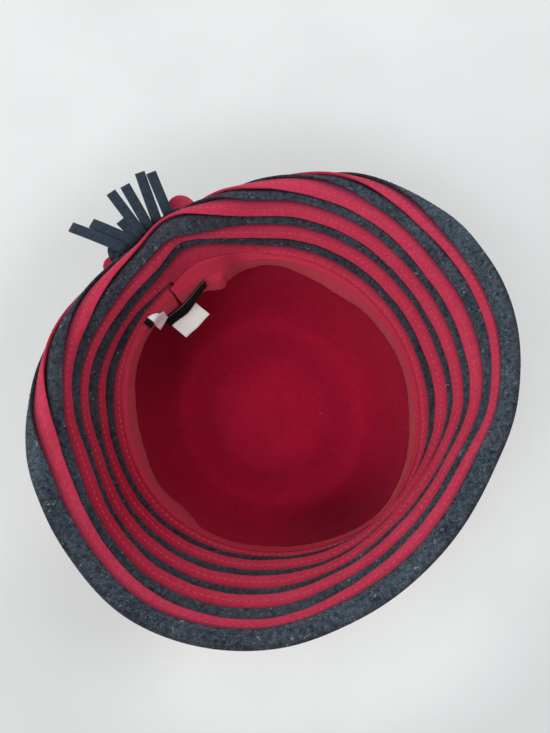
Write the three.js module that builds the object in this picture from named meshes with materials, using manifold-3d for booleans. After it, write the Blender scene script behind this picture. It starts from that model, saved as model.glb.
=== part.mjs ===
// A felt cloche hat lying upside down on its crown, in millimetres.
// The origin is the middle of the flattened crown tip that it rests on, and +Z points up into the open hat.
// The front of the hat is towards -Y, and the back, with its turned-up brim and its fringe, towards +Y.
// The brim is one red and one charcoal felt strip, sewn together edge over edge as they wind round the head.
import * as THREE from "three";
import { mergeVertices } from "three/addons/utils/BufferGeometryUtils.js";
import Module from "manifold-3d";

// Driving sizes
const CROWN_DEPTH = 100;
const CROWN_FELT = 2;
const STRIP_FELT = 1.5;
const STRIP_WIDTH = 10.5;
const STRIP_STEP = 7;
const TURNS = 5;
const PITCH = 2 * STRIP_STEP;
const LAP_GAP = 0.96;
const FIRST_EDGE = -1.5;
const RIM = FIRST_EDGE + STRIP_STEP + (TURNS - 1) * PITCH + STRIP_WIDTH;
const SLANT_STEP = 1;

// Azimuths in degrees from +X, where the strips begin and where each turn steps out over the one before
const STRIPS_BEGIN = 85;
const STEP_OUT_FROM = 46;
const STEP_OUT_TO = 80;

// Where a turn is cut into sections, closer together where the turned-up back begins and ends
const SECTION_SPANS = [
  // from azimuth, to azimuth, sections
  [85, 165, 13],
  [165, 345, 15],
  [345, 444, 17],
  [444, 445, 1],
];
const STRIP_ENDS = { red: 438, charcoal: 424 };

// How far the inner cut edges are from an even spacing, because the red felt laps more than the charcoal,
// and how much further they wander at one azimuth on every turn. Bumps are at one place of the winding only,
// each with its winding angle, its reach in degrees and its shift.
const EDGES = {
  red: { shift: -0.6, wave: 1.6, waveAzimuth: 132, bumps: [[553, 14, -1.8], [913, 20, -1.6]] },
  charcoal: { shift: 1.2, wave: -1.5, waveAzimuth: 106, bumps: [[706, 11, -4.5], [1745, 28, -2.5]] },
};
const EDGE_WAVE_REACH = 20;

// Where a second turn begins it laps this much more, for so many degrees, and closes over the strips' ends.
const START_LAP = { more: 3.2, degrees: 24 };

// Each strip's outer edge drops by this much for each millimetre of width, so that the next one lies over it.
const LAP_SLOPE = (STRIP_FELT + LAP_GAP) / STRIP_STEP;

// The brim by azimuth: its seam with the crown, then its lean from the floor, in degrees, at LEAN_SLANTS.
const LEAN_SLANTS = [3, 13.5, 27.5, 41.5, 55.5, 69];
const BRIM_ROWS = [
  // azimuth, seam radius, lip, first turn, second turn, third turn, fourth turn, rim
  [15, 87.5, 40, 44, 57, 45, 60, 68],
  [40, 90, 46, 52, 46, 44, 55, 60],
  [63, 93, 75, 66, 54, 56, 60, 60],
  [75, 92, 62, 64, 62, 58, 60, 60],
  [87, 90.5, 60, 88, 66, 62, 60, 60],
  [105, 90, 55, 88, 66, 62, 60, 60],
  [125, 88.5, 46, 76, 64, 76, 58, 64],
  [140, 87, 48, 74, 66, 80, 50, 70],
  [155, 86.5, 48, 75, 78, 76, 46, 67],
  [175, 86.5, 46, 72, 68, 76, 59, 70],
  [195, 86.5, 64, 65, 64, 64, 61, 72],
  [225, 87, 82, 72, 63, 66, 68, 72],
  [245, 89, 87, 76, 79, 76, 73, 63],
  [270, 93.5, 102, 91, 85, 76, 73, 65],
  [295, 92, 76, 82, 85, 83, 76, 62],
  [315, 88.5, 54, 53, 74, 68, 78, 76],
  [335, 87.5, 60, 52, 66, 53, 60, 70],
  [355, 86.5, 44, 50, 66, 54, 45, 68],
];

// The turned-up back: along its crest the brim rolls over and hangs outside.
const FOLD = { azimuth: 75, halfWidth: 78, crest: 37.5, crestRise: 33, crestPower: 1.6, turn: 150, roll: 24 };

// The crown's inner face from its tip to the seam, as a share of the seam radius at a height
const CROWN_ROWS = [
  // height, share of the seam radius
  [2, 0.43],
  [8, 0.63],
  [11.5, 0.72],
  [15, 0.79],
  [24, 0.88],
  [40, 0.955],
  [60, 1.005],
  [78, 1.025],
  [91, 1.012],
];
const CROWN_TUCK = 4.5;
const CROWN_SPLIT_ANGLES = [0.5, 0.8];

// The sweatband hangs inside the crown from the seam, wavy at its free edge.
const SWEATBAND = { cloth: 1, drop: 22, gap: 0.95, jointAzimuth: 87, jointGap: 0.8, sections: 60 };
const SWEATBAND_ROWS = [
  // azimuth, inward lean in degrees, lap over the first strip
  [0, -3, 2],
  [15, 3, 2],
  [30, -3, 2],
  [45, -10, 2],
  [55, -5, 4],
  [67, 7.5, 8],
  [76, 4.5, 8],
  [87, 1, 5],
  [105, -8, 2.5],
  [135, -1, 2],
  [155, 1, 2],
  [172, -3, 2],
  [187, 0.5, 2],
  [200, -13, 2],
  [213, -12.5, 2],
  [224, -8, 2],
  [236, -12.5, 2],
  [255, -12, 2],
  [275, -9.5, 2],
  [308, -4, 2],
  [325, -7, 2],
];

// A woven label, a blank care tag and its folded end hang at the back, by the sweatband's free edge.
// Each is a ribbon with profiles evenly along it, past the free edge and inwards of the sweatband's middle.
// A third number moves a point aside, in degrees.
const FOLD_PROFILES = [
  [[-1.4, 1.8], [-6, 1.1], [-10, 1.1], [-14, 1.2], [-17.5, 1.3]],
  [[2, 4], [-6, 1.4], [-20, 2.4], [-22.5, 3.1], [-26, 2.5]],
];
const END_PROFILE = [[-15, 1.2], [-22, 1.3], [-25, 1.3]];
const LABEL_PROFILES = [
  [[-20, 1.2], [-15.5, 1.2], [-11, 1.5]],
  [[-6.5, 1.4], [-2.4, 2.6], [1.6, 4.8]],
  [[1, 1.6], [2.8, 3], [5, 6.5]],
];
const TAG_PROFILES = [
  [[-3.4, 1.5], [-1.6, 1.8], [6, 5, -1], [8.8, 12, -2.8]],
  [[4.2, 4.05], [5.4, 5.8], [7, 8], [9.2, 18]],
];
const RIBBONS = [
  // name, colour, thickness, from azimuth, to azimuth, profiles there
  ["label", "label", 0.7, 73.5, 97, LABEL_PROFILES],
  ["care_tag", "tag", 0.6, 81.5, 96, TAG_PROFILES],
  ["care_fold", "tag", 0.6, 94.6, 100.8, FOLD_PROFILES],
  ["label_end", "label", 0.7, 101.2, 103.6, [END_PROFILE, END_PROFILE]],
];

// The fringe on the turned-up back: a head sewn along the felt and strips that stand out from it
const FRINGE = { felt: 1.5, strip: 6, headFrom: 70.5, headTo: 92.5, headTop: 49, headBottom: 56, bend: 3 };
const FRINGE_ROWS = [
  // azimuth at the head, azimuth at the tip, tip radius, tip height
  [89.4, 94.2, 151.5, 119.5],
  [86, 90.5, 143.5, 121],
  [84.3, 85, 134, 119.5],
  [82.4, 82.7, 150.5, 121.5],
  [79.7, 79.3, 149, 122],
  [77, 75, 152, 121],
  [73.7, 72.8, 148, 122.5],
];

// Felt petals round the fringe
const PETAL_FELT = 1.5;
const PETAL_SEAT = 2.5;
const PETAL_ROWS = [
  // name, colour, azimuth, half width in degrees, slant on the brim, reach, rise
  ["red_petal", "red", 70.3, 4.6, 58.5, 13, 2.5],
  ["charcoal_petal", "charcoal", 90, 4.4, 58.5, 14, 2.5],
  ["red_petal_left", "red", 94.2, 3.6, 62.5, 9.5, 2],
];

const COLOURS = {
  red: 0xb32c47,
  crown: 0x8e1129,
  charcoal: 0x303b46,
  sweatband: 0x9c3045,
  label: 0x16181c,
  tag: 0xd6d0c8,
};

const wasm = await Module();
wasm.setup();

const radians = THREE.MathUtils.degToRad;

// The angles of a turn's sections from where the strips begin
const TURN_ANGLES = SECTION_SPANS.flatMap(([from, to, count]) =>
  Array.from({ length: count }, (_, i) => from + ((to - from) * i) / count - STRIPS_BEGIN),
);

function smooth(share) {
  return THREE.MathUtils.smoothstep(share, 0, 1);
}

function polar(azimuth, radius, height) {
  const angle = radians(azimuth);
  return new THREE.Vector3(radius * Math.cos(angle), radius * Math.sin(angle), height);
}

// The values of a table at one azimuth, by a smooth curve through its rows that closes on itself
function valuesAt(rows, azimuth) {
  const count = rows.length;
  const turned = (azimuth - rows[0][0] + 720) % 360 + rows[0][0];
  let index = 0;
  while (index + 1 < count && rows[index + 1][0] <= turned) index += 1;
  const row = (step) => {
    const place = index + step;
    const wrapped = (place + count) % count;
    return { azimuth: rows[wrapped][0] + 360 * Math.floor(place / count), values: rows[wrapped].slice(1) };
  };
  const [before, from, to, after] = [row(-1), row(0), row(1), row(2)];
  const span = to.azimuth - from.azimuth;
  const t = (turned - from.azimuth) / span;
  return from.values.map((value, i) => {
    const slopeFrom = ((to.values[i] - before.values[i]) / (to.azimuth - before.azimuth)) * span;
    const slopeTo = ((after.values[i] - value) / (after.azimuth - from.azimuth)) * span;
    const rise = to.values[i] - value;
    const square = 3 * rise - 2 * slopeFrom - slopeTo;
    const cube = slopeFrom + slopeTo - 2 * rise;
    return value + t * (slopeFrom + t * (square + t * cube));
  });
}

// The brim's lean in radians at a slant distance from the seam, with the roll of the turned-up back
function leanAt(leans, azimuth, slant) {
  const last = LEAN_SLANTS.length - 1;
  const inside = THREE.MathUtils.clamp(slant, LEAN_SLANTS[0], LEAN_SLANTS[last]);
  let i = 0;
  while (i + 2 <= last && LEAN_SLANTS[i + 1] < inside) i += 1;
  const share = (inside - LEAN_SLANTS[i]) / (LEAN_SLANTS[i + 1] - LEAN_SLANTS[i]);
  const lean = THREE.MathUtils.lerp(leans[i], leans[i + 1], share);
  const away = Math.abs((azimuth - FOLD.azimuth + 540) % 360 - 180) / FOLD.halfWidth;
  const crest = FOLD.crest + FOLD.crestRise * away ** FOLD.crestPower;
  return radians(lean - FOLD.turn * smooth((slant - crest) / FOLD.roll + 0.5));
}

// A point of the brim's middle surface at a slant distance from the seam
function surfacePoint(azimuth, slant) {
  const [seam, ...leans] = valuesAt(BRIM_ROWS, azimuth);
  const steps = Math.max(1, Math.ceil(Math.abs(slant) / SLANT_STEP));
  const length = slant / steps;
  let radius = seam;
  let height = CROWN_DEPTH;
  for (let i = 0; i < steps; i += 1) {
    const lean = leanAt(leans, azimuth, (i + 0.5) * length);
    radius += length * Math.cos(lean);
    height += length * Math.sin(lean);
  }
  return polar(azimuth, radius, height);
}

// That point moved by an offset square to the surface, towards the inside of the hat
function brimPoint(azimuth, slant, offset) {
  const along = surfacePoint(azimuth, slant + SLANT_STEP).sub(surfacePoint(azimuth, slant - SLANT_STEP));
  const round = surfacePoint(azimuth + 1, slant).sub(surfacePoint(azimuth - 1, slant));
  const inward = along.cross(round).normalize();
  return surfacePoint(azimuth, slant).addScaledVector(inward, offset);
}

// How many pitches a strip has moved out when it has wound this many degrees
function pitchesOut(angle) {
  const turn = Math.floor(angle / 360);
  const from = (STEP_OUT_FROM - STRIPS_BEGIN + 360) % 360;
  const share = (angle - 360 * turn - from) / (STEP_OUT_TO - STEP_OUT_FROM);
  return turn + smooth(share);
}

// One closed body through a row of sections, each a loop of points, that joins up in a ring or has flat ends.
// A loop goes up one face and back down the other, and both faces are split along the same diagonals.
function loft(sections, ring) {
  const points = [];
  const triangle = (a, b, c) => {
    if (a.distanceTo(b) > 1e-6 && b.distanceTo(c) > 1e-6 && c.distanceTo(a) > 1e-6) points.push(a, b, c);
  };
  const count = sections[0].length;
  const pairs = ring ? sections.length : sections.length - 1;
  for (let i = 0; i < pairs; i += 1) {
    const here = sections[i];
    const next = sections[(i + 1) % sections.length];
    for (let j = 0; j < count; j += 1) {
      const k = (j + 1) % count;
      if (j < count / 2) {
        triangle(here[j], next[k], here[k]);
        triangle(here[j], next[j], next[k]);
      } else {
        triangle(here[j], next[j], here[k]);
        triangle(here[k], next[j], next[k]);
      }
    }
  }
  if (!ring) {
    const half = count / 2;
    for (let j = 0; j + 1 < half; j += 1) {
      const [first, last] = [sections[0], sections[sections.length - 1]];
      const [a, b, c, d] = [j, j + 1, count - 2 - j, count - 1 - j];
      triangle(first[a], first[c], first[d]);
      triangle(first[a], first[b], first[c]);
      triangle(last[a], last[c], last[b]);
      triangle(last[a], last[d], last[c]);
    }
  }
  return new THREE.BufferGeometry().setFromPoints(points);
}

function solidOf(geometry) {
  const merged = mergeVertices(geometry, 1e-3);
  const vertProperties = merged.attributes.position.array;
  const triVerts = new Uint32Array(merged.index.array);
  return new wasm.Manifold(new wasm.Mesh({ numProp: 3, vertProperties, triVerts }));
}

// Overlapping closed bodies made into one
function fuse(geometries) {
  const solid = geometries.map(solidOf).reduce((whole, piece) => whole.add(piece));
  const mesh = solid.getMesh();
  const geometry = new THREE.BufferGeometry();
  geometry.setAttribute("position", new THREE.BufferAttribute(mesh.vertProperties, 3));
  geometry.setIndex(new THREE.BufferAttribute(mesh.triVerts, 1));
  return geometry;
}

// How far a strip's inner edge is from its even place. The red strip laps more where its second turn begins.
function edgeShift(edge, firstEdge, angle) {
  const away = ((STRIPS_BEGIN + angle) % 360) - edge.waveAzimuth;
  const red = firstEdge === FIRST_EDGE && angle >= 360;
  const more = red ? START_LAP.more * (1 - smooth((angle - 360) / START_LAP.degrees)) : 0;
  let shift = edge.shift + edge.wave * Math.exp(-((away / EDGE_WAVE_REACH) ** 2)) - more;
  for (const [at, reach, bump] of edge.bumps) shift += bump * Math.exp(-(((angle - at) / reach) ** 2));
  return shift;
}

// A felt strip of the brim that winds round from its first edge, lapped over its neighbour inside.
// The strip next to the seam keeps its inner edge there all through its first turn.
function stripGeometry(firstEdge, edge, endAzimuth) {
  const shares = [0, 1 / 3, 2 / 3, 1];
  const sections = [];
  const last = 360 * (TURNS - 1) + endAzimuth - STRIPS_BEGIN;
  const turns = Array.from({ length: TURNS }, (_, turn) => TURN_ANGLES.map((angle) => 360 * turn + angle));
  for (const angle of turns.flat().filter((angle) => angle <= last)) {
    const even = firstEdge + PITCH * pitchesOut(angle);
    const byTheSeam = firstEdge === FIRST_EDGE && angle < 360;
    const inner = byTheSeam ? FIRST_EDGE : even + edgeShift(edge, firstEdge, angle);
    const outer = Math.min(even + STRIP_WIDTH, RIM);
    const face = (side) =>
      shares.map((share) => {
        const slant = THREE.MathUtils.lerp(inner, outer, share);
        const past = byTheSeam ? Math.max(0, slant - even) : slant - even;
        const offset = LAP_SLOPE * (STRIP_WIDTH / 2 - past) + (side * STRIP_FELT) / 2;
        return brimPoint(STRIPS_BEGIN + angle, slant, offset);
      });
    sections.push([...face(-1), ...face(1).reverse()]);
  }
  return loft(sections, false);
}

// The crown: a flattened tip, a round shoulder and a wall whose edge lies outside the first strip
function crownGeometry() {
  const wallNormal = (i, seam) => {
    const at = (k) => new THREE.Vector2(CROWN_ROWS[k][1] * seam, CROWN_ROWS[k][0]);
    const along = at(Math.min(i + 1, CROWN_ROWS.length - 1)).sub(at(Math.max(i - 1, 0))).normalize();
    return i === 0 ? new THREE.Vector2(0, -1) : new THREE.Vector2(along.y, -along.x);
  };
  const section = (azimuth, stepped) => {
    const [seam] = valuesAt(BRIM_ROWS, azimuth);
    const stripEdge = FIRST_EDGE + PITCH * stepped;
    const inner = [new THREE.Vector3(0, 0, CROWN_FELT)];
    const outer = [new THREE.Vector3(0, 0, 0)];
    CROWN_ROWS.forEach(([height, share], i) => {
      const normal = wallNormal(i, seam).multiplyScalar(CROWN_FELT);
      inner.push(polar(azimuth, share * seam, height));
      outer.push(polar(azimuth, share * seam + normal.x, Math.max(0, height + normal.y)));
    });
    for (const share of [0, 1 / 3, 2 / 3, 1]) {
      const slant = THREE.MathUtils.lerp(FIRST_EDGE, stripEdge + CROWN_TUCK, share);
      const under = LAP_SLOPE * (STRIP_WIDTH / 2 - Math.max(0, slant - stripEdge));
      const offset = under - STRIP_FELT / 2 - LAP_GAP - CROWN_FELT / 2;
      inner.push(brimPoint(azimuth, slant, offset + CROWN_FELT / 2));
      outer.push(brimPoint(azimuth, slant, offset - CROWN_FELT / 2));
    }
    return [...outer, ...inner.reverse()];
  };
  const [startShift, endShift] = CROWN_SPLIT_ANGLES;
  const sections = [section(STRIPS_BEGIN - startShift, 0)];
  const between = TURN_ANGLES.slice(1, -1);
  sections.push(...between.map((angle) => section(STRIPS_BEGIN + angle, pitchesOut(angle))));
  sections.push(section(STRIPS_BEGIN + 360 - endShift, 1));
  return loft(sections, true);
}

// A point of the sweatband, this far down from the first strip's edge and this far inwards of its middle.
// Above that edge the sweatband laps the strip.
function bandPoint(azimuth, down, inward) {
  const angle = azimuth - STRIPS_BEGIN + (azimuth < SWEATBAND.jointAzimuth ? 360 : 0);
  const [leanDegrees, lap] = valuesAt(SWEATBAND_ROWS, azimuth);
  const stepped = Math.min(PITCH * pitchesOut(angle), lap);
  const seat = (STRIP_FELT + SWEATBAND.cloth) / 2 + SWEATBAND.gap;
  const offset = (slant) => LAP_SLOPE * (FIRST_EDGE + stepped + STRIP_WIDTH / 2 - slant) + seat;
  if (down <= 0) return brimPoint(azimuth, FIRST_EDGE - down, offset(FIRST_EDGE - down) + inward);
  const top = brimPoint(azimuth, FIRST_EDGE, offset(FIRST_EDGE));
  const lean = radians(leanDegrees);
  const radius = Math.hypot(top.x, top.y) - down * Math.sin(lean) - inward * Math.cos(lean);
  return polar(azimuth, radius, top.z - down * Math.cos(lean) + inward * Math.sin(lean));
}

// The sweatband: a strip of cloth that laps the first red strip and hangs down inside, with its ends butted
function sweatbandGeometry() {
  const { cloth, drop, jointAzimuth, jointGap, sections: count } = SWEATBAND;
  const sections = [];
  for (let i = 0; i <= count; i += 1) {
    const azimuth = jointAzimuth + jointGap / 2 + ((360 - jointGap) * i) / count;
    const lap = valuesAt(SWEATBAND_ROWS, azimuth)[1];
    const face = (side) =>
      [-lap, 0, drop / 2, drop].map((down) => bandPoint(azimuth, down, (side * cloth) / 2));
    sections.push([...face(1), ...face(-1).reverse()]);
  }
  return loft(sections, false);
}

// A thin ribbon that follows the sweatband round, from profile to profile
function ribbonGeometry(cloth, fromAzimuth, toAzimuth, profiles) {
  const parts = 4;
  const sections = [];
  for (let i = 0; i <= parts; i += 1) {
    const azimuth = THREE.MathUtils.lerp(fromAzimuth, toAzimuth, i / parts);
    const along = ((profiles.length - 1) * i) / parts;
    const first = Math.min(Math.floor(along), profiles.length - 2);
    const places = profiles[first].map((place, k) =>
      new THREE.Vector3(...place).lerp(new THREE.Vector3(...profiles[first + 1][k]), along - first),
    );
    const face = (side) =>
      places.map((place, k) => {
        const before = places[Math.max(k - 1, 0)];
        const after = places[Math.min(k + 1, places.length - 1)];
        const way = new THREE.Vector2(after.x - before.x, after.y - before.y).normalize();
        const past = place.x - (side * way.y * cloth) / 2;
        const inward = place.y + (side * way.x * cloth) / 2;
        return bandPoint(azimuth + place.z, SWEATBAND.drop + past, inward);
      });
    sections.push([...face(1), ...face(-1).reverse()]);
  }
  return loft(sections, false);
}

// The fringe: its head follows the turned-up felt, and each strip bends out from the head to its own tip
function fringeGeometry() {
  const { felt, strip, headFrom, headTo, headTop, headBottom, bend } = FRINGE;
  const cover = (LAP_SLOPE * STRIP_WIDTH) / 2 + STRIP_FELT / 2 + LAP_GAP + felt / 2;
  const headSections = [];
  const parts = 6;
  for (let i = 0; i <= parts; i += 1) {
    const azimuth = THREE.MathUtils.lerp(headFrom, headTo, i / parts);
    const face = (side) =>
      [headTop, headBottom].map((slant) => brimPoint(azimuth, slant, cover + (side * felt) / 2));
    headSections.push([...face(-1), ...face(1).reverse()]);
  }
  const strips = FRINGE_ROWS.map(([azimuth, tipAzimuth, tipRadius, tipHeight]) => {
    const root = brimPoint(azimuth, (headTop + headBottom) / 2, cover);
    const top = brimPoint(azimuth, headTop + felt / 2, cover);
    const tip = polar(tipAzimuth, tipRadius, tipHeight);
    const away = tip.clone().sub(top).normalize();
    const back = away.clone().negate();
    const up = new THREE.Vector3(0, 0, 1);
    const side = new THREE.Vector3().crossVectors(up, away).normalize();
    const path = [
      [root, back, 0.7],
      [top, back, 0.7],
      [top.clone().addScaledVector(away, bend).addScaledVector(up, bend), up, 1],
      [tip, up, 1],
    ];
    const sections = path.map(([point, normal, share]) => {
      const corner = (across, out) =>
        point
          .clone()
          .addScaledVector(side, (across * strip) / 2)
          .addScaledVector(normal, (out * share * felt) / 2);
      return [corner(-1, -1), corner(-1, 1), corner(1, 1), corner(1, -1)];
    });
    return loft(sections, false);
  });
  return fuse([loft(headSections, false), ...strips]);
}

// A round felt petal that stands out from the turned-up felt
function petalGeometry(azimuth, halfWidth, slant, reach, rise) {
  const parts = 8;
  const sections = [];
  for (let i = 0; i <= parts; i += 1) {
    const share = (2 * i) / parts - 1;
    const here = azimuth + halfWidth * share;
    const root = brimPoint(here, slant, PETAL_SEAT);
    const rootRadius = Math.hypot(root.x, root.y);
    const length = 1 + (reach - 1) * Math.sqrt(1 - share * share);
    const face = (side) =>
      [0, 0.5, 1].map((along) => {
        const lift = rise * ((along * length) / reach) ** 2;
        return polar(here, rootRadius + along * length, root.z + lift + (side * PETAL_FELT) / 2);
      });
    sections.push([...face(-1), ...face(1).reverse()]);
  }
  return loft(sections, false);
}

const hat = new THREE.Group();

function addPiece(name, geometry, color, roughness = 0.95) {
  const material = new THREE.MeshStandardMaterial({ color, roughness, metalness: 0 });
  const mesh = new THREE.Mesh(geometry, material);
  mesh.name = name;
  hat.add(mesh);
}

addPiece("crown", crownGeometry(), COLOURS.crown);
addPiece("red_strip", stripGeometry(FIRST_EDGE, EDGES.red, STRIP_ENDS.red), COLOURS.red);
const charcoal = stripGeometry(FIRST_EDGE + STRIP_STEP, EDGES.charcoal, STRIP_ENDS.charcoal);
addPiece("charcoal_strip", charcoal, COLOURS.charcoal);
addPiece("sweatband", sweatbandGeometry(), COLOURS.sweatband);
for (const [name, colour, ...sizes] of RIBBONS) {
  addPiece(name, ribbonGeometry(...sizes), COLOURS[colour], 0.6);
}
addPiece("fringe", fringeGeometry(), COLOURS.charcoal);
for (const [name, colour, ...sizes] of PETAL_ROWS) {
  addPiece(name, petalGeometry(...sizes), COLOURS[colour]);
}

export default hat;
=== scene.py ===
# %% [markdown]
# # A felt cloche hat that lies upside down
# The hat rests on its flattened crown tip, and the camera looks down into it from almost straight above.
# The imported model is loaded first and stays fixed. Every piece below is then made in the same frame, in its
# place, and stands for the plain solid of the same name.

# %% Load the frame
import math

import bmesh
import bpy
import numpy as np
from mathutils import Matrix, Vector


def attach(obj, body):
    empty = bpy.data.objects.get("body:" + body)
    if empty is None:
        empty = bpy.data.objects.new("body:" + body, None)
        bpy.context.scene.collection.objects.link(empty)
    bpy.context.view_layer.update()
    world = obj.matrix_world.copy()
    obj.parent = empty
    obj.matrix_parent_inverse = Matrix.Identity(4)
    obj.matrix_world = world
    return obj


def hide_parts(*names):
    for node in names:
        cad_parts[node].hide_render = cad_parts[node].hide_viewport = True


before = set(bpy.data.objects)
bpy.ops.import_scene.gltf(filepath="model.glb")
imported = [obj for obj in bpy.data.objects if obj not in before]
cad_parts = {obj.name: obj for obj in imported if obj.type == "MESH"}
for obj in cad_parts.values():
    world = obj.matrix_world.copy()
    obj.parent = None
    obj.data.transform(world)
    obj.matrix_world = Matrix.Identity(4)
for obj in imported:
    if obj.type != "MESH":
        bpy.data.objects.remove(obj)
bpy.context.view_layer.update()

BODY = "root"
MM = 0.001

# %% [markdown]
# ## The camera
# The view is from above the hat, a little towards its front and side. A wide lens that close makes the brim,
# which is nearer, look much larger than the crown tip, so the distance matters more than the zoom. The place
# was worked out from how large the seam, the rim and the tip look beside each other.

# %% Place the camera
CAMERA_PLACE = Vector((-0.0185, -0.0227, 0.4213))
CAMERA_LOOK = Vector((0.108, 0.108, -0.988)).normalized()
CAMERA_UP = Vector((0.699, 0.699, 0.153))
LENS_MM = 27.0
SENSOR_MM = 36.0
NEAREST_SEEN = 0.01

camera_data = bpy.data.cameras.new("camera")
camera_data.lens = LENS_MM
camera_data.sensor_fit = "VERTICAL"
camera_data.sensor_height = SENSOR_MM
camera_data.sensor_width = SENSOR_MM
camera_data.clip_start = NEAREST_SEEN
camera = bpy.data.objects.new("camera", camera_data)
bpy.context.scene.collection.objects.link(camera)
camera_right = CAMERA_LOOK.cross(CAMERA_UP).normalized()
camera_top = camera_right.cross(CAMERA_LOOK)
camera_turn = Matrix((camera_right, camera_top, -CAMERA_LOOK)).transposed()
camera.matrix_world = Matrix.Translation(CAMERA_PLACE) @ camera_turn.to_4x4()
bpy.context.scene.camera = camera
print("camera at", [round(x, 3) for x in CAMERA_PLACE], "with a lens of", LENS_MM, "mm")

# %% [markdown]
# ## Sums on shader sockets
# A felt needs a dozen small sums on noise values. Wired one node at a time they are hard to read, so a small
# class holds a socket and lets Python's own signs add the Math nodes. Every other node, from a noise to a
# bump, comes from its one method, `node`, and the function under it serves the geometry trees too.

# %% Shader maths
def grow(tree, kind, settings=None, **inputs):
    """A new node of this kind, with its settings made first and then its sockets, by name or number."""
    node = tree.nodes.new(kind)
    for name, value in (settings or {}).items():
        setattr(node, name, value)
    for name, value in inputs.items():
        socket = node.inputs[int(name[1:]) if name[1:].isdigit() else name.replace("_", " ")]
        if isinstance(value, bpy.types.NodeSocket):
            tree.links.new(value, socket)
        else:
            socket.default_value = value
    return node


class Socket:
    """A shader socket that can be added, multiplied and compared like a number."""

    def __init__(self, tree, socket):
        self.tree = tree
        self.socket = socket

    def node(self, kind, settings=None, **inputs):
        """A new node in the same tree, with its settings, and values or sums in its sockets."""
        plain = {name: getattr(value, "socket", value) for name, value in inputs.items()}
        return grow(self.tree, kind, settings, **plain)

    def out(self, kind, output, settings=None, **inputs):
        """One output of such a new node, as a socket for more sums."""
        return Socket(self.tree, self.node(kind, settings, **inputs).outputs[output])

    def maths(self, operation, *values):
        inputs = {f"_{i}": value for i, value in enumerate(values)}
        return self.out("ShaderNodeMath", 0, {"operation": operation}, **inputs)

    def __add__(self, other):
        return self.maths("ADD", self, other)

    def __radd__(self, other):
        return self.maths("ADD", other, self)

    def __sub__(self, other):
        return self.maths("SUBTRACT", self, other)

    def __rsub__(self, other):
        return self.maths("SUBTRACT", other, self)

    def __mul__(self, other):
        return self.maths("MULTIPLY", self, other)

    def __rmul__(self, other):
        return self.maths("MULTIPLY", other, self)

    def __abs__(self):
        return self.maths("ABSOLUTE", self)

    def between(self, low, high):
        """0 below low, 1 above high and a smooth rise between them."""
        settings = {"interpolation_type": "SMOOTHSTEP"}
        return self.out("ShaderNodeMapRange", 0, settings, Value=self, From_Min=low, From_Max=high)

    def mix(self, first, second):
        """A colour between two others, by this socket as the share of the second."""
        settings = {"data_type": "RGBA", "clamp_factor": True}
        return self.out("ShaderNodeMix", 2, settings, Factor=self, _6=first, _7=second)


def srgb(red, green, blue):
    """A colour as a screen shows it, from 0 to 255, as the linear colour that a shader takes."""
    def linear(value):
        share = value / 255
        return share / 12.92 if share <= 0.04045 else ((share + 0.055) / 1.055) ** 2.4
    return (linear(red), linear(green), linear(blue), 1.0)


def new_material(name, **constants):
    """A material with a Principled shader, its even values set, and a socket to start sums from."""
    material = bpy.data.materials.new(name)
    material.use_nodes = True
    tree = material.node_tree
    shader = tree.nodes["Principled BSDF"]
    for key, value in constants.items():
        shader.inputs[key.replace("_", " ")].default_value = value
    place = Socket(tree, grow(tree, "ShaderNodeTexCoord").outputs["Object"])
    return material, shader, place


def noise(place, scale, detail=2.0, roughness=0.5, distortion=0.0, shift=0.0):
    """A noise value of about so many bumps in each metre, moved by a shift to be unlike the others."""
    if shift:
        place = place.out("ShaderNodeMapping", 0, Vector=place, Location=(shift, 2 * shift, 3 * shift))
    return place.out(
        "ShaderNodeTexNoise", "Fac", Vector=place,
        Scale=scale, Detail=detail, Roughness=roughness, Distortion=distortion,
    )


def paint(shader, **sums):
    """Link sums to the sockets of a material's shader."""
    for name, value in sums.items():
        value.tree.links.new(value.socket, shader.inputs[name.replace("_", " ")])


print("shader sums are ready")

# %% [markdown]
# ## Wool felt
# Felt is a mat of tangled wool fibres with no weave. Seen close, it is a mottled colour crossed by short
# curly hairs, and it glows a little at grazing angles because loose fibres stand off the surface. A noise has
# a wandering line wherever it passes through one half, and that line looks just like a curly hair, so each
# kind of hair here is a thin band round such a line, broken up by a second noise. The glow is sheen. A piece
# may carry two values of painted shade: hollow, painted where the real felt looks darker than this light
# makes it, and lapped, a painted shadow on felt that slips under the edge of an upper strip. Colours come in
# pairs: the dark and light ground, the dark and light hair, and the hollow and lapped painted shade.

# %% Felt materials
def hairs(place, scale, width, share, shift):
    """A mask of thin wandering lines that come and go."""
    wander = noise(place, scale, detail=2.0, roughness=0.55, distortion=0.6, shift=shift)
    line = 1 - abs(wander - 0.5).between(0.0, width)
    broken = noise(place, scale * 0.6, detail=1.0, shift=shift + 0.37).between(1 - share, 1.12 - share)
    return line * broken


def shaded(place, value, finished, shade):
    """A colour that turns to a painted shade where the piece's value of this name says so."""
    return place.out("ShaderNodeAttribute", "Fac", {"attribute_name": value}).mix(finished, shade)


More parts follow.
